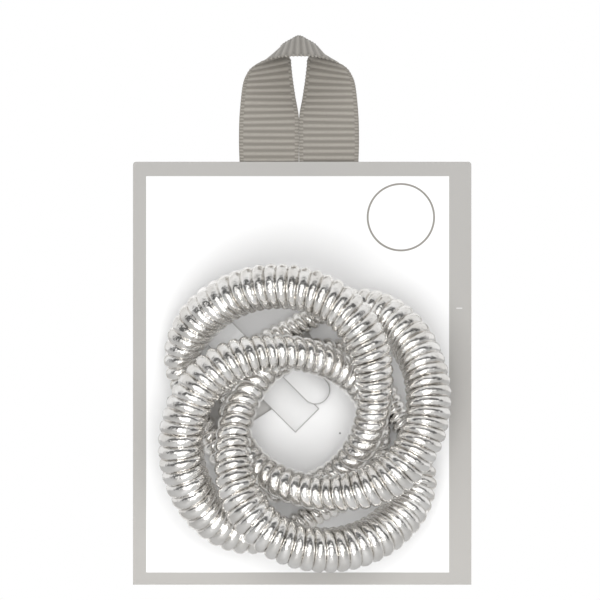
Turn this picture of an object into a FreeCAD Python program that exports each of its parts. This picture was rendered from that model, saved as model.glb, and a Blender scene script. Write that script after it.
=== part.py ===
"""Retail card with a grosgrain hang loop that carries four interlinked spiral hair ties.

Frame, in millimetres: +Z up, +X to the viewer's right, -Y towards the viewer. The origin is where a
shop peg touches the underside of the ribbon loop, on the middle plane between the card's two boards.
"""
import FreeCAD, Part
import math
import os

V = FreeCAD.Vector
FRONT = V(0, -1, 0)

# ---- card -----------------------------------------------------------------------------------------
CARD_WIDTH = 74.4
CARD_HEIGHT = 93.0
CARD_MIDDLE_X = 0.7            # the ribbon sits a little left of the card's middle
CARD_TOP_Z = -22.7             # the ribbon loop stands this far above the card
CARD_CORNER = 0.7              # radius of the two top corners
BOARD_THICK = 0.5
GLUE_THICK = 0.55              # the ribbon and its glue fill the same gap
GLUE_WIDE = 4.0                # glue line along the card's edges
GLUE_INSET = 0.6               # the glue stops short of the cut edge

SLOT_LONG = 34.0               # slot cut in the front board, half hidden by the ties
SLOT_WIDE = 14.5
SLOT_TILT = 32.5               # degrees, rising to the right
SLOT_CENTRE = (-10.8, -71.6)   # X, Z

# ---- ribbon ---------------------------------------------------------------------------------------
RIBBON_WIDE = 12.7             # half-inch grosgrain
RIBBON_THICK = 0.45
TAIL_LONG = 22.0               # each end's length between the boards
LEG_GAP = 0.4                  # between the two legs, side by side
LOOP_RISE = 0.35               # the loop's solid starts this far above the card
# Left half of the loop, from the card to the top: inner edge, outer edge. The inner edges lean back
# and the outer ones forward, so that the top lies like a roof. The right half is its mirror image.
LOOP_STATIONS = [
    ((-0.2, 0.0, CARD_TOP_Z + LOOP_RISE), (-13.1, 0.0, CARD_TOP_Z + LOOP_RISE)),
    ((-0.3, 0.5, -13.0), (-13.0, -0.9, -13.0)),
    ((-1.5, 2.0, -8.4), (-12.7, -2.4, -8.6)),
    ((-2.5, 3.6, -4.4), (-12.2, -3.4, -5.4)),
    ((-2.8, 4.6, -1.0), (-11.3, -3.9, -3.3)),
    ((-3.1, 5.1, 1.2), (-9.9, -4.6, -1.9)),
    ((-3.3, 5.3, 2.8), (-7.8, -5.4, -0.8)),
    ((-2.4, 5.35, 4.0), (-4.6, -6.0, 0.1)),
    ((0.0, 5.4, 5.2), (0.0, -6.1, 0.35)),
]

# ---- ties -----------------------------------------------------------------------------------------
COIL_RADIUS = 4.85             # over the turns of the coil
PRESSED_RADIUS = 2.9           # the same on the low side, where two neighbours press on it
RING_DEPTH = 12.2              # middle plane of the rings in front of the card's face
TILT_REACH = 9.23              # how far a ring's high side stands in front of that plane
# Each ring gives a little where it crosses its neighbours, so that it isn't a flat circle.
SQUEEZE, SWAY = 0.24, 0.16     # change in radius, twice and three times round the ring
TWIST, SAG = 0.6, 0.63         # change in depth, twice and three times round
# The hidden low side is pulled in, and so is a little the part that lies across its neighbour.
TUCK, TUCK_AT, TUCK_REACH = 3.4, 163.0, 50.0       # how far, and where in degrees round
PINCH, PINCH_AT, PINCH_REACH = 0.6, 315.0, 60.0
POINTS_PER_RING = 16
ARC_SHARE = 0.45               # of the shorter of two runs, taken up by the arc between them
PRESSED_FROM, PRESSED_TO = 118.0, 265.0    # degrees round the ring from its high side
# name: centre X, centre Z, ring radius, direction of the high side in degrees
TIES = {
    "tie_upper_left": (-4.5, -72.2, 22.2, 43.2),
    "tie_left": (-4.4, -84.5, 21.3, 133.2),
    "tie_bottom": (5.8, -86.0, 21.4, 223.2),
    "tie_right": (6.8, -74.7, 21.4, 313.2),
}

# ---- paper strap and tongue -----------------------------------------------------------------------
PAPER_THICK = 0.3
PAPER_DIRECTION = V(1, 0, -1).normalize()  # both run down to the right
PAPER_ACROSS = V(1, 0, 1).normalize()
STRAP_WIDE = 7.4
STRAP_TOP = (-12.1, -65.7)     # X, Z where it crosses the low side of tie_right
STRAP_END = 19.7               # from there to its square end
STRAP_FOOT = 10.0              # and to its hidden end, the other way
STRAP_BRIDGE = 4.2             # half the level stretch over the tie
STRAP_SLOPE = 60.0             # degrees, on both sides of that stretch
STRAP_CLEARANCE = 0.5          # between the tie and the strap's level stretch
STRAP_LIFT = 0.3               # in front of the card, which it comes away from with the ties
FOLD_SHARE = 0.15              # the strap's folds are fairly crisp
TONGUE_WIDE = 6.3
TONGUE_ROOT = (-1.3, -67.9)    # X, Z of the fold, on the tongue's middle line
TONGUE_LONG = 7.0              # from the fold to the centre of the rounded end
TONGUE_LIFT = 0.45             # above the strap's front

FACE_Y = -(GLUE_THICK / 2 + BOARD_THICK)
CARD_BOTTOM_Z = CARD_TOP_Z - CARD_HEIGHT
GAP_HALF = GLUE_THICK / 2


def save(shape, name):
    if not shape.isValid():
        raise RuntimeError(name + " is not a valid solid")
    shape.exportStep("parts/" + name + ".step")
    print(name, "volume", round(shape.Volume, 1))


def block(x_low, x_high, y_low, y_high, z_low, z_high):
    return Part.makeBox(x_high - x_low, y_high - y_low, z_high - z_low, V(x_low, y_low, z_low))


# ---- card -----------------------------------------------------------------------------------------
def board(y_low):
    left, right = CARD_MIDDLE_X - CARD_WIDTH / 2, CARD_MIDDLE_X + CARD_WIDTH / 2
    sheet = block(left, right, y_low, y_low + BOARD_THICK, CARD_BOTTOM_Z, CARD_TOP_Z)
    corners = [edge for edge in sheet.Edges
               if edge.BoundBox.YLength > BOARD_THICK / 2 and edge.BoundBox.ZMin > CARD_TOP_Z - 0.1]
    return sheet.makeFillet(CARD_CORNER, corners)


def slot_cutter():
    """Rectangle for the slot in the front board, turned about its own middle."""
    cutter = Part.makeBox(SLOT_LONG, 4 * BOARD_THICK, SLOT_WIDE, V(-SLOT_LONG / 2, 0, -SLOT_WIDE / 2))
    cutter.rotate(V(0, 0, 0), V(0, -1, 0), SLOT_TILT)
    cutter.translate(V(SLOT_CENTRE[0], FACE_Y - BOARD_THICK, SLOT_CENTRE[1]))
    return cutter


def glue_frame():
    """Glue line round the card, open at the top where the ribbon comes out."""
    left = CARD_MIDDLE_X - CARD_WIDTH / 2 + GLUE_INSET
    right = CARD_MIDDLE_X + CARD_WIDTH / 2 - GLUE_INSET
    low, high = CARD_BOTTOM_Z + GLUE_INSET, CARD_TOP_Z - GLUE_INSET
    ring = block(left, right, -GAP_HALF, GAP_HALF, low, high)
    ring = ring.cut(block(left + GLUE_WIDE, right - GLUE_WIDE, -1, 1, low + GLUE_WIDE, high - GLUE_WIDE))
    mouth = LEG_GAP / 2 + RIBBON_WIDE + GLUE_INSET
    return ring.cut(block(-mouth, mouth, -1, 1, high - 2 * GLUE_WIDE, high + 1))


# ---- ribbon ---------------------------------------------------------------------------------------
def ribbon_tails():
    glue_film = GLUE_THICK - RIBBON_THICK
    tails = [block(x, x + RIBBON_WIDE, -GAP_HALF, GAP_HALF - glue_film, CARD_TOP_Z - TAIL_LONG, CARD_TOP_Z)
             for x in (LEG_GAP / 2, -LEG_GAP / 2 - RIBBON_WIDE)]
    return Part.makeCompound(tails)


def ribbon_glue():
    half = RIBBON_WIDE - 1
    glue_film = GLUE_THICK - RIBBON_THICK
    return block(-half, half, GAP_HALF - glue_film, GAP_HALF, CARD_TOP_Z - TAIL_LONG + 2, CARD_TOP_Z - 2)


def ribbon_loop():
    """One thin strip lofted through rectangles that stand across the ribbon at each station."""
    left = [(V(*inner), V(*outer)) for inner, outer in LOOP_STATIONS]
    right = [(V(-a.x, a.y, a.z), V(-b.x, b.y, b.z)) for a, b in reversed(left[:-1])]
    stations = left + right
    middles = [(a + b) * 0.5 for a, b in stations]
    sections = []
    for i, (inner, outer) in enumerate(stations):
        along = middles[min(i + 1, len(middles) - 1)] - middles[max(i - 1, 0)]
        half = along.cross(outer - inner).normalize() * (RIBBON_THICK / 2)
        sections.append(Part.makePolygon([inner + half, outer + half, outer - half, inner - half,
                                          inner + half]))
    return Part.makeLoft(sections, True, True)


# ---- ties -----------------------------------------------------------------------------------------
def bump(turn, place, reach):
    """Smooth bump of height 1 round a place on a ring."""
    away = (turn - place + 180) % 360 - 180
    return math.cos(math.radians(90 * away / reach)) ** 2 if abs(away) < reach else 0


def ring_point(tie, turn):
    """Point on a ring's centre line, turn degrees round from its high side."""
    centre_x, centre_z, radius, high = tie
    t = math.radians(turn)
    r = radius - SQUEEZE * math.cos(2 * t) + SWAY * math.cos(3 * t)
    r -= TUCK * bump(turn, TUCK_AT, TUCK_REACH) + PINCH * bump(turn, PINCH_AT, PINCH_REACH)
    depth = RING_DEPTH + TILT_REACH * math.cos(t) - TWIST * math.sin(2 * t) - SAG * math.cos(3 * t)
    angle = math.radians(high + turn)
    return V(centre_x + r * math.cos(angle), FACE_Y - depth, centre_z + r * math.sin(angle))


def tangent_path(points, share=ARC_SHARE):
    """Straight runs joined by arcs that touch them; an arc takes up this share of the shorter run."""
    edges, here = [], points[0]
    for before, corner, after in zip(points, points[1:], points[2:]):
        back, ahead = before - corner, after - corner
        half_turn = (math.pi - back.getAngle(ahead)) / 2
        reach = share * min(back.Length, ahead.Length)
        radius = reach / math.tan(half_turn)
        back.normalize()
        ahead.normalize()
        start, end = corner + back * reach, corner + ahead * reach
        inward = (back + ahead).normalize()
        middle = corner + inward * (radius / math.cos(half_turn) - radius)
        edges.append(Part.LineSegment(here, start).toShape())
        edges.append(Part.Arc(start, middle, end).toShape())
        here = end
    edges.append(Part.LineSegment(here, points[-1]).toShape())
    return Part.Wire(edges)


def tube(path, radius):
    start = path.Edges[0]
    section = Part.Wire(Part.makeCircle(radius, start.valueAt(start.FirstParameter),
                                        start.tangentAt(start.FirstParameter)))
    return path.makePipeShell([section], True, False)


def tie_ring(tie):
    """Closed ring of two tubes end to end: the full coil, and its pressed low side."""
    step = 360.0 / POINTS_PER_RING
    first = round(PRESSED_FROM / step)
    last = round(PRESSED_TO / step)
    points = [ring_point(tie, i * step) for i in range(POINTS_PER_RING)]
    join_a = (points[first] + points[first + 1]) * 0.5
    join_b = (points[last] + points[last + 1]) * 0.5
    low_side = [join_a] + points[first + 1:last + 1] + [join_b]
    rest = [join_b] + points[last + 1:] + points[:first + 1] + [join_a]
    return tube(tangent_path(rest), COIL_RADIUS).fuse(tube(tangent_path(low_side), PRESSED_RADIUS))


# ---- paper strap and tongue -----------------------------------------------------------------------
def paper_strap():
    """Strip that lies on the card, climbs over the low side of tie_right and comes down again."""
    middle = PAPER_THICK / 2
    low = STRAP_LIFT + middle
    over_tie = FACE_Y - ring_point(TIES["tie_right"], 180).y + PRESSED_RADIUS + STRAP_CLEARANCE + middle
    spread = STRAP_BRIDGE + (over_tie - low) / math.tan(math.radians(STRAP_SLOPE))
    origin = V(STRAP_TOP[0], FACE_Y, STRAP_TOP[1])
    profile = [(-STRAP_FOOT, low), (-spread, low), (-STRAP_BRIDGE, over_tie),
               (STRAP_BRIDGE, over_tie), (spread, low), (STRAP_END, low)]
    path = tangent_path([origin + PAPER_DIRECTION * along + FRONT * up for along, up in profile],
                        FOLD_SHARE)
    side, skin = PAPER_ACROSS * (STRAP_WIDE / 2), FRONT * middle
    start = path.Edges[0].valueAt(path.Edges[0].FirstParameter)
    corners = [start + side + skin, start - side + skin, start - side - skin, start + side - skin]
    return path.makePipeShell([Part.makePolygon(corners + corners[:1])], True, False)


def strap_tongue():
    """Strip with a rounded end, in front of the strap's edge and free to fold up at its root."""
    level = FACE_Y - STRAP_LIFT - PAPER_THICK - TONGUE_LIFT
    root = V(TONGUE_ROOT[0], level, TONGUE_ROOT[1])
    side = PAPER_ACROSS * (TONGUE_WIDE / 2)
    tip = root + PAPER_DIRECTION * TONGUE_LONG
    edges = [
        Part.LineSegment(root - side, tip - side),
        Part.Arc(tip - side, tip + PAPER_DIRECTION * (TONGUE_WIDE / 2), tip + side),
        Part.LineSegment(tip + side, root + side),
        Part.LineSegment(root + side, root - side),
    ]
    outline = Part.Wire([edge.toShape() for edge in edges])
    return Part.Face(outline).extrude(FRONT * PAPER_THICK)


os.makedirs("parts", exist_ok=True)
save(board(FACE_Y).cut(slot_cutter()), "card_front")
save(board(GAP_HALF), "card_back")
save(glue_frame(), "board_glue")
save(ribbon_tails(), "ribbon_tails")
save(ribbon_glue(), "ribbon_glue")
save(ribbon_loop(), "ribbon_loop")
for tie_name, tie in TIES.items():
    save(tie_ring(tie), tie_name)
save(paper_strap(), "paper_strap")
save(strap_tongue(), "strap_tongue")
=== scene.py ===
"""Looks for the carded set of four interlinked spiral hair ties. All lengths are in metres."""
import math

import bpy
import numpy as np
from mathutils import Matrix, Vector


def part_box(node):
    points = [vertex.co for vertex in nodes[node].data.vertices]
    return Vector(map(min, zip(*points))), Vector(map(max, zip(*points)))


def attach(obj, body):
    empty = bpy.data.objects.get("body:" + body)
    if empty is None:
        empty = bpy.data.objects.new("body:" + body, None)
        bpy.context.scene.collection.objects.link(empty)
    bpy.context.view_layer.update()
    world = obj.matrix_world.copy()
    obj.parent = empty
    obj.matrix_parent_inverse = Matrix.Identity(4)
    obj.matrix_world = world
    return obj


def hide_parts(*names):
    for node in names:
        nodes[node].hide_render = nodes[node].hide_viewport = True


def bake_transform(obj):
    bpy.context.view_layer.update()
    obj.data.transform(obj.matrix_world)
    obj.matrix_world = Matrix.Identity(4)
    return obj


MM = 0.001
TAU = 2 * math.pi

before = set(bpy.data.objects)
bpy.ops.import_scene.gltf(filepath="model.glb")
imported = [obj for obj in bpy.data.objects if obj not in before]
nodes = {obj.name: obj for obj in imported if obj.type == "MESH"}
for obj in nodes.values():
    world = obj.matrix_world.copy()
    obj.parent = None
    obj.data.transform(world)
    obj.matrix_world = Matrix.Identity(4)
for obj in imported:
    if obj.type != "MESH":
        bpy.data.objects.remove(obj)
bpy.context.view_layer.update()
CARD_LOW, CARD_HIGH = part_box("card_front")
FACE_Y = CARD_LOW.y
CARD_TOP = CARD_HIGH.z


# ---- meshes ---------------------------------------------------------------------------------------
def grid_piece(name, points, loop_rows=False, loop_columns=False):
    """Mesh object over a grid of points, an array of rows x columns x 3."""
    rows, columns, _ = points.shape
    faces = []
    for i in range(rows if loop_rows else rows - 1):
        for j in range(columns if loop_columns else columns - 1):
            k, n = (i + 1) % rows, (j + 1) % columns
            faces.append((i * columns + j, i * columns + n, k * columns + n, k * columns + j))
    if loop_columns and not loop_rows:
        faces.append(tuple(range(columns))[::-1])
        faces.append(tuple((rows - 1) * columns + j for j in range(columns)))
    mesh = bpy.data.meshes.new(name)
    mesh.from_pydata(points.reshape(-1, 3).tolist(), [], faces)
    mesh.validate()
    mesh.shade_smooth()
    piece = bpy.data.objects.new(name, mesh)
    bpy.context.scene.collection.objects.link(piece)
    return piece


def unit(vectors):
    return vectors / np.linalg.norm(vectors, axis=-1, keepdims=True)


def smooth_curve(points, count):
    """Count points on a smooth curve through the given ones, evenly spaced in their own parameter."""
    points = np.array(points, float)
    padded = np.vstack([2 * points[0] - points[1], points, 2 * points[-1] - points[-2]])
    result = []
    for u in np.linspace(0, len(points) - 1, count):
        i = min(int(u), len(points) - 2)
        t = u - i
        a, b, c, d = padded[i:i + 4]
        result.append(0.5 * (2 * b + (c - a) * t + (2 * a - 5 * b + 4 * c - d) * t ** 2
                             + (3 * b - a - 3 * c + d) * t ** 3))
    return np.array(result)


# ---- materials ------------------------------------------------------------------------------------
class Shader:
    """A material with short calls for the nodes that it needs."""

    def __init__(self, name, **sockets):
        self.material = bpy.data.materials.new(name)
        self.material.use_nodes = True
        self.tree = self.material.node_tree
        self.surface = self.tree.nodes["Principled BSDF"]
        for socket, value in sockets.items():
            self.surface.inputs[socket.replace("_", " ")].default_value = value
        self.place = self.tree.nodes.new("ShaderNodeTexCoord").outputs["Object"]

    def node(self, kind, settings=None, **links):
        node = self.tree.nodes.new("ShaderNode" + kind)
        for key, value in (settings or {}).items():
            setattr(node, key, value)
        for socket, value in links.items():
            target = node.inputs[int(socket[1:])] if socket[1:].isdigit() else node.inputs[socket]
            if isinstance(value, bpy.types.NodeSocket):
                self.tree.links.new(value, target)
            else:
                target.default_value = value
        return node

    def math(self, operation, a, b=0.0):
        return self.node("Math", {"operation": operation}, _0=a, _1=b).outputs[0]

    def mix(self, factor, a, b):
        node = self.node("Mix", {"data_type": "RGBA"}, _0=factor, _6=a, _7=b)
        return node.outputs[2]

    def noise(self, scale, detail=3.0, stretch=None):
        place = self.place
        if stretch:
            place = self.node("Mapping", None, _0=self.place, Scale=stretch).outputs[0]
        return self.node("TexNoise", None, Vector=place, Scale=scale, Detail=detail).outputs["Fac"]

    def span(self, value, low, high, to_low=0.0, to_high=1.0):
        return self.node("MapRange", None, _0=value, _1=low, _2=high, _3=to_low, _4=to_high).outputs[0]

    def use(self, socket, value):
        self.tree.links.new(value, self.surface.inputs[socket])

    def bump(self, height, strength, distance):
        self.use("Normal", self.node("Bump", None, Strength=strength, Distance=distance,
                                     Height=height).outputs[0])


BLUE_LOSS = 1.6                 # a warm grey loses this much more blue than it gains red


def grey(value, warmth=0.0):
    return (value * (1 + warmth), value, value * (1 - warmth * BLUE_LOSS), 1.0)


# ---- studio ---------------------------------------------------------------------------------------
VIEW_WIDTH = 132 * MM
VIEW_CENTRE = Vector((0.22 * MM, 0, -53.1 * MM))
CAMERA_DISTANCE = 1.3
CAMERA_REACH = 20
SENSOR_WIDTH = 36               # millimetres, as Blender counts a sensor
WORLD_STRENGTH = 1.35
SCREEN_BELOW = math.radians(27)
SCREEN_DIRECTION = Vector((0, -math.cos(SCREEN_BELOW), -math.sin(SCREEN_BELOW)))
# The world's brightness, from straight away from the screen, at 0, to straight at it, at 1.
WORLD_STOPS = [(0.0, 0.62), (0.30, 0.66), (0.50, 0.58), (0.56, 0.30), (0.62, 0.10), (0.70, 0.06),
               (0.78, 0.14), (0.82, 1.0), (0.93, 1.0), (0.965, 0.72), (1.0, 0.85)]
FLOOR_DROP = 440 * MM           # from the card's lower edge to the floor
FLOOR_REACH = 4.0               # from under the card to each edge
FLOOR_CLOUDS = 6                # patches in its paint to a metre


def make_camera():
    data = bpy.data.cameras.new("camera")
    data.sensor_width = SENSOR_WIDTH
    data.lens = SENSOR_WIDTH * CAMERA_DISTANCE / VIEW_WIDTH
    data.clip_end = CAMERA_REACH
    camera = bpy.data.objects.new("camera", data)
    camera.location = VIEW_CENTRE - Vector((0, CAMERA_DISTANCE, 0))
    camera.rotation_euler = (math.pi / 2, 0, 0)
    bpy.context.scene.collection.objects.link(camera)
    bpy.context.scene.camera = camera


def make_world():
    """A large bright screen in front and a little below, a dark gap round it and pale grey elsewhere.

    The camera itself sees plain white where nothing stands."""
    world = bpy.data.worlds.new("studio")
    world.use_nodes = True
    bpy.context.scene.world = world
    tree = world.node_tree
    direction = tree.nodes.new("ShaderNodeTexCoord").outputs["Generated"]
    towards = tree.nodes.new("ShaderNodeVectorMath")
    towards.operation = "DOT_PRODUCT"
    tree.links.new(direction, towards.inputs[0])
    towards.inputs[1].default_value = SCREEN_DIRECTION
    share = tree.nodes.new("ShaderNodeMapRange")
    share.inputs[1].default_value, share.inputs[2].default_value = -1, 1
    tree.links.new(towards.outputs["Value"], share.inputs[0])
    ramp = tree.nodes.new("ShaderNodeValToRGB")
    tree.links.new(share.outputs[0], ramp.inputs[0])
    elements = ramp.color_ramp.elements
    for element, (position, value) in zip(elements, (WORLD_STOPS[0], WORLD_STOPS[-1])):
        element.position = position
        element.color = grey(value)
    for position, value in WORLD_STOPS[1:-1]:
        elements.new(position).color = grey(value)
    studio = tree.nodes["Background"]
    tree.links.new(ramp.outputs[0], studio.inputs[0])
    studio.inputs[1].default_value = WORLD_STRENGTH
    white = tree.nodes.new("ShaderNodeBackground")
    white.inputs[0].default_value = grey(1.0)
    seen = tree.nodes.new("ShaderNodeLightPath").outputs["Is Camera Ray"]
    either = tree.nodes.new("ShaderNodeMixShader")
    for socket, value in zip(either.inputs, (seen, studio.outputs[0], white.outputs[0])):
        tree.links.new(value, socket)
    tree.links.new(either.outputs[0], tree.nodes["World Output"].inputs[0])


def make_floor():
    """Pale floor well below the hanging card. It ends before it comes into the camera's view."""
    floor_z = CARD_LOW.z - FLOOR_DROP
    ends = (-FLOOR_REACH, FLOOR_REACH)
    points = np.array([[(x, y, floor_z) for x in ends] for y in ends])
    floor = grid_piece("floor", points)
    paint = Shader("floor_paint", Roughness=0.8)
    paint.use("Base Color", paint.mix(paint.noise(FLOOR_CLOUDS), grey(0.66), grey(0.72)))
    floor.data.materials.append(paint.material)


def make_light(name, location, target, size, power, in_reflections=True):
    data = bpy.data.lights.new(name, "AREA")
    data.shape = "DISK"
    data.size = size
    data.energy = power
    light = bpy.data.objects.new(name, data)
    light.visible_glossy = in_reflections
    light.location = location
    light.rotation_euler = (Vector(target) - Vector(location)).to_track_quat("-Z", "Y").to_euler()
    bpy.context.scene.collection.objects.link(light)


# ---- ties -----------------------------------------------------------------------------------------
TURNS = 60
STEPS_PER_TURN = 30
WIRE_SIDES = 12
WIRE_DEPTH = 1.15 * MM          # half the wire's thickness, from the coil's inside to its outside
WIRE_OVERLAP = 1.08             # the turns are squeezed together, so the grooves are shallow
UNEVEN = 5.0                    # turns crowd on one side of a tie and open up on the other
RING_DEPTH = 12.2 * MM          # from the card's face to the middle of a ring
TILT_REACH = 9.23 * MM          # how far its high side comes forward and its low side goes back
SQUEEZE, SWAY = 0.24 * MM, 0.16 * MM                # how far a ring is from round, seen from the front
TWIST, SAG = 0.6 * MM, 0.63 * MM                    # and from flat, seen from its edge
TUCK, TUCK_AT, TUCK_REACH = 3.6 * MM, 163, 50       # the hidden low side is pulled in, degrees round
PINCH, PINCH_AT, PINCH_REACH = 1.1 * MM, 315, 60    # and the part that lies across it a little
# The coil's radius in millimetres at degrees round from the high side: it is full there, and
# pressed thin where neighbours lie on it.
COIL_RADII = [(0, 4.9), (90, 5.1), (102, 5.0), (132, 3.0), (145, 2.7), (190, 2.7), (215, 3.15),
              (250, 3.15), (285, 3.75), (318, 4.0), (345, 4.7), (360, 4.9)]
RADIUS_BLUR = (-8, -4, 0, 4, 8)                     # degrees over which that radius is averaged
# node: centre X, centre Z, radius, direction of the high side in degrees, where the first turn starts
TIES = {
    "tie_upper_left": (-4.5, -72.2, 22.2, 43.2, 0.0),
    "tie_left": (-4.4, -84.5, 21.3, 133.2, 0.3),
    "tie_bottom": (5.8, -86.0, 21.4, 223.2, 0.6),
    "tie_right": (6.8, -74.7, 21.4, 313.2, 0.8),
}


def bump_at(turn, degrees, reach):
    """Smooth bump of height 1 round a place on the ring."""
    away = (np.degrees(turn) - degrees + 180) % 360 - 180
    return np.where(abs(away) < reach, np.cos(math.pi / 2 * away / reach) ** 2, 0)


def ring_line(tie, turn):
    """Centre line of a tie, turn radians round from its high side."""
    centre_x, centre_z, radius, high, _ = tie
    r = radius * MM - SQUEEZE * np.cos(2 * turn) + SWAY * np.cos(3 * turn)
    r = r - TUCK * bump_at(turn, TUCK_AT, TUCK_REACH) - PINCH * bump_at(turn, PINCH_AT, PINCH_REACH)
    depth = RING_DEPTH + TILT_REACH * np.cos(turn) - TWIST * np.sin(2 * turn) - SAG * np.cos(3 * turn)
    angle = turn + math.radians(high)
    return np.stack([centre_x * MM + r * np.cos(angle), FACE_Y - depth,
                     centre_z * MM + r * np.sin(angle)], axis=-1)


def coil_radius(turn):
    """Radius of the coil over its wire, turn radians round from the high side."""
    degrees = np.degrees(turn) % 360
    places, radii = np.array(COIL_RADII).T
    spread = [np.interp((degrees + shift) % 360, places, radii) for shift in RADIUS_BLUR]
    return np.mean(spread, axis=0) * MM


def make_coil(node, tie):
    """Wire wound round the tie's centre line: its section is as wide as the turns are apart."""
    centre_x, centre_z, ring_radius, _, start = tie
    count = TURNS * STEPS_PER_TURN
    turn = np.arange(count) / count * TAU
    line = ring_line(tie, turn)
    radius = coil_radius(turn) - WIRE_DEPTH
    nudge = math.radians(0.5)
    speed = (ring_line(tie, turn + nudge) - ring_line(tie, turn - nudge)) / (2 * nudge)
    along = unit(speed)
    outward = (line - np.array([centre_x, 0, centre_z]) * MM) * np.array([1, 0, 1])
    outward = unit(outward - (outward * along).sum(1, keepdims=True) * along)
    across = np.cross(along, outward)
    phase = start * TAU
    wind = turn * TURNS + UNEVEN * np.sin(turn + phase) + phase
    wind_rate = TURNS + UNEVEN * np.cos(turn + phase)
    radial = np.cos(wind)[:, None] * outward + np.sin(wind)[:, None] * across
    wire = line + radial * radius[:, None]
    pitch = np.linalg.norm(speed, axis=1) * TAU / wind_rate
    pitch = pitch * (1 + np.cos(wind) * radius / (ring_radius * MM))
    direction = unit(np.roll(wire, -1, 0) - np.roll(wire, 1, 0))
    side = unit(np.cross(direction, radial))
    lift = np.cross(side, direction)
    angle = np.arange(WIRE_SIDES) / WIRE_SIDES * TAU
    half_width = (pitch * 0.5 * WIRE_OVERLAP)[:, None, None]
    points = (wire[:, None, :] + np.cos(angle)[None, :, None] * half_width * side[:, None, :]
              + np.sin(angle)[None, :, None] * WIRE_DEPTH * lift[:, None, :])
    return grid_piece(node + "_coil", points, loop_rows=True, loop_columns=True)


def silver():
    s = Shader("silver_plating", Base_Color=grey(0.86, 0.008), Metallic=1.0, Roughness=0.14)
    bright, worn = grey(0.91, 0.012), grey(0.72, 0.03)
    wear = s.span(s.noise(scale=260, detail=4), 0.35, 0.7)
    s.use("Base Color", s.mix(wear, bright, worn))
    s.use("Roughness", s.span(s.noise(scale=900, detail=2), 0.3, 0.75, to_low=0.08, to_high=0.2))
    s.bump(s.noise(scale=560, detail=5), strength=0.85, distance=0.36 * MM)
    return s.material


# ---- card -----------------------------------------------------------------------------------------
PANEL_INSET = (2.9, 3.2, 4.9, 2.7)      # left, top, right, bottom, in millimetres
BADGE_CENTRE = (22.4, -34.9)
BADGE_RADIUS = 7.3
BADGE_LINE = 0.42
BADGE_GREY = grey(0.26, 0.06)
# Painted shade: the pinhole's dark inside is painted on the card's face as a soft dark spot.
PINHOLE = (9.0, -82.4)
PINHOLE_RADIUS, PINHOLE_RIM = 0.12 * MM, 0.26 * MM  # dark as far as the first, gone at the second
PINHOLE_SHADE_GREY = grey(0.18, 0.03)
SCUFF_X, SCUFF_Z = (34.6, 35.9), (-55.0, -54.8)     # low and high ends of a scratch on the border
SCUFF_SOFT = 0.1 * MM
SCUFF_GREY = grey(0.75)
BORDER_TOP, BORDER_BOTTOM, BORDER_CLOUD = grey(0.42, 0.025), grey(0.44, 0.03), grey(0.42, 0.03)
PANEL_WHITE = grey(0.93)
INK_SOFT = 0.02 * MM


def edge_mask(s, value, low, high, soft=INK_SOFT):
    """1 between low and high, with a soft edge as ink has on card."""
    rise = s.span(value, low - soft, low + soft)
    fall = s.span(value, high - soft, high + soft, 1.0, 0.0)
    return s.math("MULTIPLY", rise, fall)


def length_of(s, a, b):
    """Length of the vector that has these two parts."""
    return s.math("SQRT", s.math("ADD", s.math("POWER", a, 2.0), s.math("POWER", b, 2.0)))


def distance_from(s, x, z, centre):
    """Distance on the card's face from a centre in millimetres."""
    return length_of(s, s.math("SUBTRACT", x, centre[0] * MM), s.math("SUBTRACT", z, centre[1] * MM))


def printed_card():
    s = Shader("printed_card", Roughness=0.55)
    place = s.node("SeparateXYZ", None, _0=s.place)
    x, z = place.outputs[0], place.outputs[2]
    left, top, right, bottom = [inset * MM for inset in PANEL_INSET]
    panel = s.math("MULTIPLY", edge_mask(s, x, CARD_LOW.x + left, CARD_HIGH.x - right),
                   edge_mask(s, z, CARD_LOW.z + bottom, CARD_TOP - top))
    border = s.mix(s.span(z, CARD_LOW.z, CARD_TOP), BORDER_BOTTOM, BORDER_TOP)
    cloud = s.span(s.noise(scale=45, detail=4), 0.3, 0.8, to_low=0.0, to_high=0.16)
    border = s.mix(cloud, border, BORDER_CLOUD)
    from_badge = distance_from(s, x, z, BADGE_CENTRE)
    line_in, line_out = BADGE_RADIUS - BADGE_LINE / 2, BADGE_RADIUS + BADGE_LINE / 2
    ring = edge_mask(s, from_badge, line_in * MM, line_out * MM)
    panel_colour = s.mix(ring, PANEL_WHITE, BADGE_GREY)
    # painted shade of the pinhole, a dark spot on the flat face
    from_pin = distance_from(s, x, z, PINHOLE)
    pin = s.span(from_pin, PINHOLE_RADIUS, PINHOLE_RIM, to_low=1.0, to_high=0.0)
    panel_colour = s.mix(pin, panel_colour, PINHOLE_SHADE_GREY)
    scuff = s.math("MULTIPLY", edge_mask(s, x, SCUFF_X[0] * MM, SCUFF_X[1] * MM),
                   edge_mask(s, z, SCUFF_Z[0] * MM, SCUFF_Z[1] * MM, SCUFF_SOFT))
    border = s.mix(scuff, border, SCUFF_GREY)
    s.use("Base Color", s.mix(panel, border, panel_colour))
    s.bump(s.noise(scale=2200, detail=4), strength=0.12, distance=0.05 * MM)
    return s.material


def plain_card():
    s = Shader("plain_card", Roughness=0.7)
    s.use("Base Color", s.mix(s.noise(scale=120, detail=5), grey(0.56, 0.02), grey(0.66, 0.02)))
    s.bump(s.noise(scale=1800, detail=4), strength=0.2, distance=0.06 * MM)
    return s.material


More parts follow.
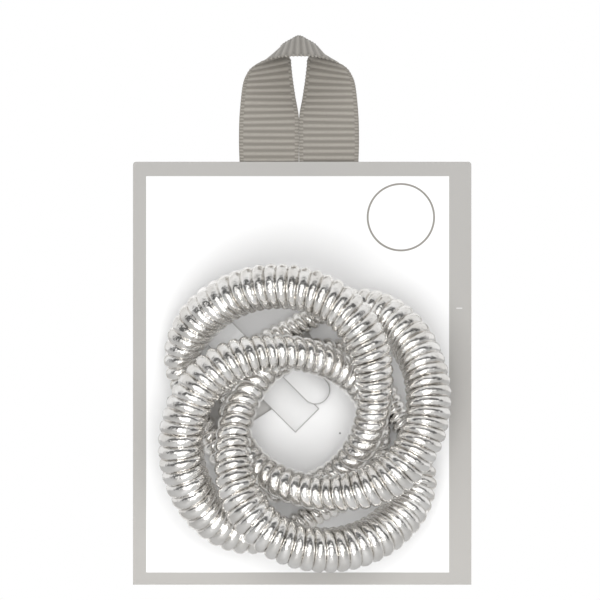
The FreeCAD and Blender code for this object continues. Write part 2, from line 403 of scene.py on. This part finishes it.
# ---- paper and glue -------------------------------------------------------------------------------
DOWN_RIGHT = np.array([1, 0, -1]) / math.sqrt(2)
UP_RIGHT = np.array([1, 0, 1]) / math.sqrt(2)
OUT = np.array([0, -1, 0])
PAPER_THICK = 0.3 * MM
STRAP_WIDE = 7.4 * MM
STRAP_TOP = np.array([-12.1, 0, -65.7]) * MM
STRAP_END = 19.7 * MM
TONGUE_WIDE = 6.3 * MM
TONGUE_LONG = 7.0 * MM          # its straight part, without the round end
TONGUE_ROOT = np.array([-1.3, FACE_Y / MM - 1.2, -67.9]) * MM
# Painted shade: a thin grey band along the rim of the paper's front face stands for the dark outline where
# its edge meets the card.
RIM_SHADE_WIDE = 0.22 * MM
RIM_SHADE_STARTS, RIM_SHADE_FULL = 1.1, 0.4   # where the painted shade along the rim begins and is full, in rim widths
CUT_EDGE_TILT = 0.35            # faces with less than this of their normal to the front are cut edges


def white_paper(name, origin, half_width, straight, round_end):
    """White paper with a grey band of painted shade along its rim, from the origin straight along its middle
    line to its end.
    """
    s = Shader(name, Roughness=0.6)
    offset = s.node("VectorMath", {"operation": "SUBTRACT"}, _0=s.place, _1=Vector(origin))
    from_origin = offset.outputs[0]
    along = s.node("VectorMath", {"operation": "DOT_PRODUCT"}, _0=from_origin, _1=Vector(DOWN_RIGHT))
    across = s.node("VectorMath", {"operation": "DOT_PRODUCT"}, _0=from_origin, _1=Vector(UP_RIGHT))
    past = s.math("MAXIMUM", s.math("SUBTRACT", along.outputs["Value"], straight), 0.0)
    wide = s.math("ABSOLUTE", across.outputs["Value"])
    if round_end:
        reach = length_of(s, past, wide)
    else:
        reach = s.math("MAXIMUM", s.math("ADD", past, half_width - RIM_SHADE_WIDE), wide)
    # painted shade along the rim of the front face
    edge = s.span(reach, half_width - RIM_SHADE_WIDE * RIM_SHADE_STARTS, half_width - RIM_SHADE_WIDE * RIM_SHADE_FULL)
    sheet = s.mix(s.noise(scale=300, detail=5), grey(0.88), grey(0.93))
    s.use("Base Color", s.mix(edge, sheet, grey(0.42, 0.02)))
    s.bump(s.noise(scale=1500, detail=4), strength=0.2, distance=0.05 * MM)
    return s.material


def strip_side_shade():
    # Painted shade: the side faces of the paper strips are dark grey, standing for the shadow and outline
    # along the paper's edges.
    s = Shader("strip_side_painted_shade", Roughness=0.8)
    s.use("Base Color", s.mix(s.noise(scale=400, detail=4), grey(0.20, 0.02), grey(0.32, 0.02)))
    return s.material


def glue():
    s = Shader("dried_glue", Roughness=0.35)
    s.use("Base Color", s.mix(s.noise(scale=200, detail=4), grey(0.7, 0.03), grey(0.82, 0.02)))
    s.bump(s.noise(scale=500), strength=0.4, distance=0.1 * MM)
    return s.material


# ---- ribbon ---------------------------------------------------------------------------------------
RIBBON_WIDE = 12.7 * MM
RIBBON_THICK = 0.4 * MM
CURVE_POINTS = 1600             # points on each edge, from which its length is measured
RIB_PITCH = 1.4 * MM
RIB_HEIGHT = 0.24 * MM
STEPS_PER_RIB = 8
SELVEDGE = 0.9 * MM
SELVEDGE_RELIEF = 0.9           # its finer ribs are this much of a rib's height
TAIL_BOTTOM = -44.0
# Left half of the ribbon from its tail to the top: inner edge, outer edge, in millimetres.
RIBBON_STATIONS = [
    ((-0.15, 0.0, TAIL_BOTTOM), (-12.85, 0.0, TAIL_BOTTOM)),
    ((-0.15, 0.0, -36.0), (-12.85, 0.0, -36.0)),
    ((-0.15, 0.0, -28.0), (-12.9, 0.0, -28.0)),
    ((-0.03, 0.0, -22.3), (-13.1, 0.0, -22.3)),
    ((-0.01, 0.1, -19.5), (-13.2, -0.1, -19.5)),
    ((-0.01, 0.2, -16.5), (-13.2, -0.3, -16.5)),
    ((-0.06, 0.6, -12.6), (-13.1, -0.9, -13.0)),
    ((-0.8, 2.0, -8.4), (-12.7, -2.4, -8.6)),
    ((-1.4, 3.6, -4.4), (-12.2, -3.4, -5.4)),
    ((-1.75, 4.5, -1.4), (-11.4, -3.9, -3.5)),
    ((-2.0, 5.0, 0.3), (-10.4, -4.5, -2.2)),
    ((-3.7, 5.35, 1.8), (-8.8, -5.2, -1.2)),
    ((-3.8, 5.4, 3.2), (-5.9, -5.9, -0.2)),
    ((-1.8, 5.4, 4.5), (-2.8, -6.1, 0.25)),
    ((0.0, 5.4, 5.3), (0.0, -6.1, 0.35)),
]


def make_ribbon():
    """One ribbon from tail to tail, with its ribs and selvedges. Returns its length along the middle too."""
    left = [np.array(pair, float) for pair in RIBBON_STATIONS]
    right = [pair * np.array([-1, 1, 1]) for pair in reversed(left[:-1])]
    stations = np.array(left + right) * MM
    inner = smooth_curve(stations[:, 0], CURVE_POINTS)
    outer = smooth_curve(stations[:, 1], CURVE_POINTS)
    middle = (inner + outer) / 2
    length = np.concatenate([[0], np.cumsum(np.linalg.norm(np.diff(middle, axis=0), axis=1))])
    rows = int(length[-1] / RIB_PITCH) * STEPS_PER_RIB
    at = np.linspace(0, length[-1], rows)
    inner = np.stack([np.interp(at, length, inner[:, k]) for k in range(3)], axis=1)
    outer = np.stack([np.interp(at, length, outer[:, k]) for k in range(3)], axis=1)
    edge = SELVEDGE / RIBBON_WIDE
    near_edge = np.array([0, 0.45, 0.9, 1.1]) * edge        # the last two stand where the selvedge ends
    columns = np.concatenate([near_edge, [0.25, 0.5, 0.75], 1 - near_edge[::-1]])
    surface = inner[:, None] * (1 - columns)[None, :, None] + outer[:, None] * columns[None, :, None]
    along = unit(np.gradient((inner + outer) / 2, axis=0))
    normal = unit(np.cross(along, outer - inner))
    rib = 0.5 - 0.5 * np.cos(TAU * at / RIB_PITCH)
    fine = SELVEDGE_RELIEF * (0.5 + 0.5 * np.cos(TAU * at / (RIB_PITCH * 0.5)))
    woven = (columns < edge) | (columns > 1 - edge)
    height = np.where(woven[None, :], fine[:, None], rib[:, None]) * RIB_HEIGHT
    half = (RIBBON_THICK / 2 - RIB_HEIGHT + height)[..., None] * normal[:, None, :]
    front, back = surface + half, surface - half
    skin = np.concatenate([front, back[:, ::-1]], axis=1)
    ribbon = grid_piece("ribbon", skin, loop_columns=True)
    crest = np.concatenate([height, height[:, ::-1]], axis=1) / RIB_HEIGHT
    ribbon.data.attributes.new("crest", "FLOAT", "POINT").data.foreach_set("value", crest.ravel())
    return ribbon, length[-1]


def grosgrain():
    s = Shader("grosgrain", Roughness=0.75, Sheen_Weight=0.25, Sheen_Roughness=0.5)
    crest = s.node("Attribute", {"attribute_name": "crest"}).outputs["Fac"]
    flecks = s.noise(scale=1400, detail=4, stretch=(1, 1, 3))
    # Painted shade: the grooves between the ribs are coloured darker than the thread on the crests.
    thread, groove = s.mix(flecks, grey(0.30, 0.07), grey(0.38, 0.07)), grey(0.21, 0.08)
    s.use("Base Color", s.mix(s.span(crest, 0.1, 0.9), groove, thread))
    s.bump(s.noise(scale=4500, stretch=(1, 1, 0.25)), strength=0.5, distance=0.06 * MM)
    return s.material


# ---- paper strap and tongue -----------------------------------------------------------------------
# Section of a paper strip, with bevelled cut edges: across in half widths, out in thicknesses.
STRIP_SECTION = [(-1, -0.25), (-1, 0.25), (-0.985, 0.5), (0.985, 0.5),
                 (1, 0.25), (1, -0.25), (0.985, -0.5), (-0.985, -0.5)]
# The strap from its hidden end over the tie to its square end: along it and out from the card, mm.
STRAP_PROFILE = [(-10, 0.47), (-9.2, 0.47), (-8.3, 0.6), (-6.5, 3.4), (-4.6, 6.4), (-2.2, 7.25),
                 (0, 7.3), (2.2, 7.25), (4.6, 6.4), (6.5, 3.4), (8.3, 0.75), (10.5, 0.5), (14, 0.45),
                 (STRAP_END / MM, 0.42)]
STRAP_ROWS = 120
TONGUE_ROWS, TONGUE_ROUND_ROWS = 12, 18
TONGUE_ROUND_STARTS = 0.08      # radians, so that no row repeats the straight part's last one
TONGUE_TIP = 0.02 * MM          # half width left at the very tip
TONGUE_CURL = 0.25 * MM


def paper_strip(name, middle, normal, half_widths):
    """Closed paper strip: one section at each point of its middle line."""
    rows = [[m + UP_RIGHT * w * a + n * PAPER_THICK * b for a, b in STRIP_SECTION]
            for m, n, w in zip(middle, normal, half_widths)]
    strip = grid_piece(name, np.array(rows), loop_columns=True)
    for face in strip.data.polygons:
        # faces turned edge-on take the dark painted-shade material
        face.material_index = 1 if abs(face.normal.y) < CUT_EDGE_TILT else 0
    return strip


def make_strap():
    """Lies on the card, climbs over the low side of tie_right and comes down to its square end."""
    path = smooth_curve(STRAP_PROFILE, STRAP_ROWS) * MM
    middle = STRAP_TOP + path[:, :1] * DOWN_RIGHT + path[:, 1:] * OUT + np.array([0, FACE_Y, 0])
    slope = np.gradient(path, axis=0)
    normal = unit(-slope[:, 1:] * DOWN_RIGHT + slope[:, :1] * OUT)
    return paper_strip("paper_strap_sheet", middle, normal, np.full(len(path), STRAP_WIDE / 2))


def make_tongue():
    """Flat tongue with a round end that curls up a little from the strap."""
    straight, round_end = TONGUE_LONG, TONGUE_WIDE / 2
    swing = np.linspace(TONGUE_ROUND_STARTS, math.pi / 2, TONGUE_ROUND_ROWS)
    along = np.concatenate([np.linspace(0, straight, TONGUE_ROWS), straight + round_end * np.sin(swing)])
    past = np.maximum(along - straight, 0)
    width = np.sqrt(np.maximum(round_end ** 2 - past ** 2, TONGUE_TIP ** 2))
    curl = TONGUE_CURL * (along / along[-1]) ** 2
    middle = TONGUE_ROOT + along[:, None] * DOWN_RIGHT + curl[:, None] * OUT
    normal = np.tile(OUT, (len(along), 1))
    return paper_strip("tongue_sheet", middle, normal, width)


# ---- making ---------------------------------------------------------------------------------------
bpy.context.scene.view_settings.view_transform = "Standard"
make_camera()
make_world()
make_floor()
make_light("key", location=(-0.04, -0.72, -0.29), target=(0, 0, -0.08), size=0.42, power=2.1)
make_light("fill", location=(0.04, -1.1, 0.14), target=(0, 0, -0.07), size=0.6, power=3.1,
           in_reflections=False)

plating = silver()
for node_name, tie_sizes in TIES.items():
    coil = make_coil(node_name, tie_sizes)
    coil.data.materials.append(plating)
    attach(coil, "bundle")
    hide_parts(node_name)

for node_name, make_material in (("card_front", printed_card), ("card_back", plain_card),
                                 ("board_glue", glue), ("ribbon_glue", glue)):
    nodes[node_name].data.materials.clear()
    nodes[node_name].data.materials.append(make_material())

ribbon, ribbon_length = make_ribbon()
ribbon.data.materials.append(grosgrain())
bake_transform(ribbon)
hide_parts("ribbon_loop", "ribbon_tails")

side_shade_paint = strip_side_shade()
strap_paper = white_paper("strap_paper", STRAP_TOP, STRAP_WIDE / 2, STRAP_END - RIM_SHADE_WIDE, False)
tongue_paper = white_paper("tongue_paper", TONGUE_ROOT, TONGUE_WIDE / 2, TONGUE_LONG, True)
strap = make_strap()
tongue = make_tongue()
for piece, body, node_name, paper in ((strap, "bundle", "paper_strap", strap_paper),
                                      (tongue, "tongue", "strap_tongue", tongue_paper)):
    piece.data.materials.append(paper)
    piece.data.materials.append(side_shade_paint)
    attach(piece, body)
    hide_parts(node_name)
